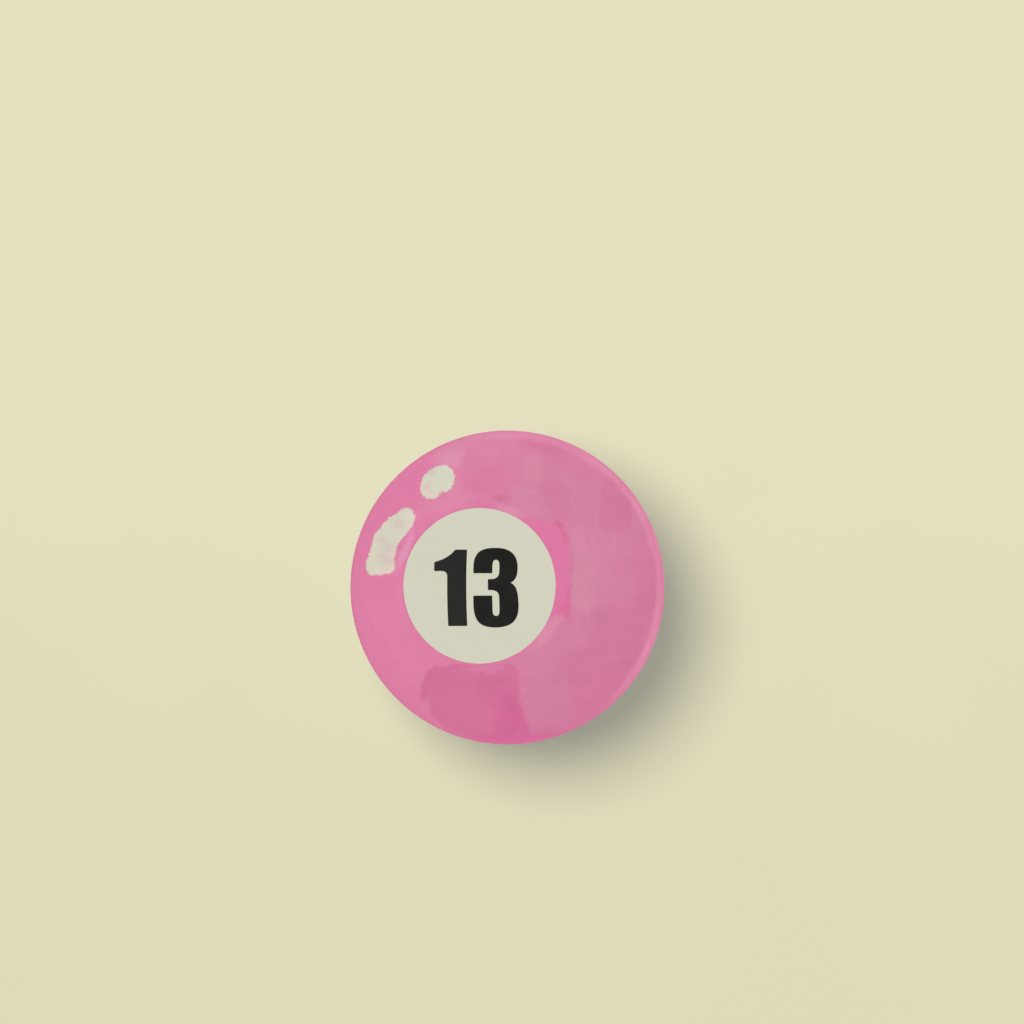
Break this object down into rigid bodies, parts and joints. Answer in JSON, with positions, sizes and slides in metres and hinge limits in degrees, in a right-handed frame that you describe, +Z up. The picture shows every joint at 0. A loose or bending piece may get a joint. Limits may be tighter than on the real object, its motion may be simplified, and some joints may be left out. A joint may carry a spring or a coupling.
{
  "type": "numbered pool ball",
  "caption": "Solid-colour cast-resin pool ball with a flush ivory number disc on opposite sides, each carrying inlaid black numerals.",
  "frame": {"origin": "centre of the ball", "axes": "+Z up with the numerals upright, Y through the centres of both number discs, front number facing -Y and rear number facing +Y, +X to the right seen from the front"},
  "size_m": [0.0572, 0.0572, 0.0572],
  "materials": {
    "pink_resin": "polished",
    "ivory_resin": "polished",
    "black_resin": "polished"
  },
  "bodies": {
    "root": {"ball_body": "pink_resin", "front_number_disc": "ivory_resin", "front_numeral_one": "black_resin", "front_numeral_three": "black_resin", "rear_number_disc": "ivory_resin", "rear_numeral_one": "black_resin", "rear_numeral_three": "black_resin"}
  },
  "joints": []
}
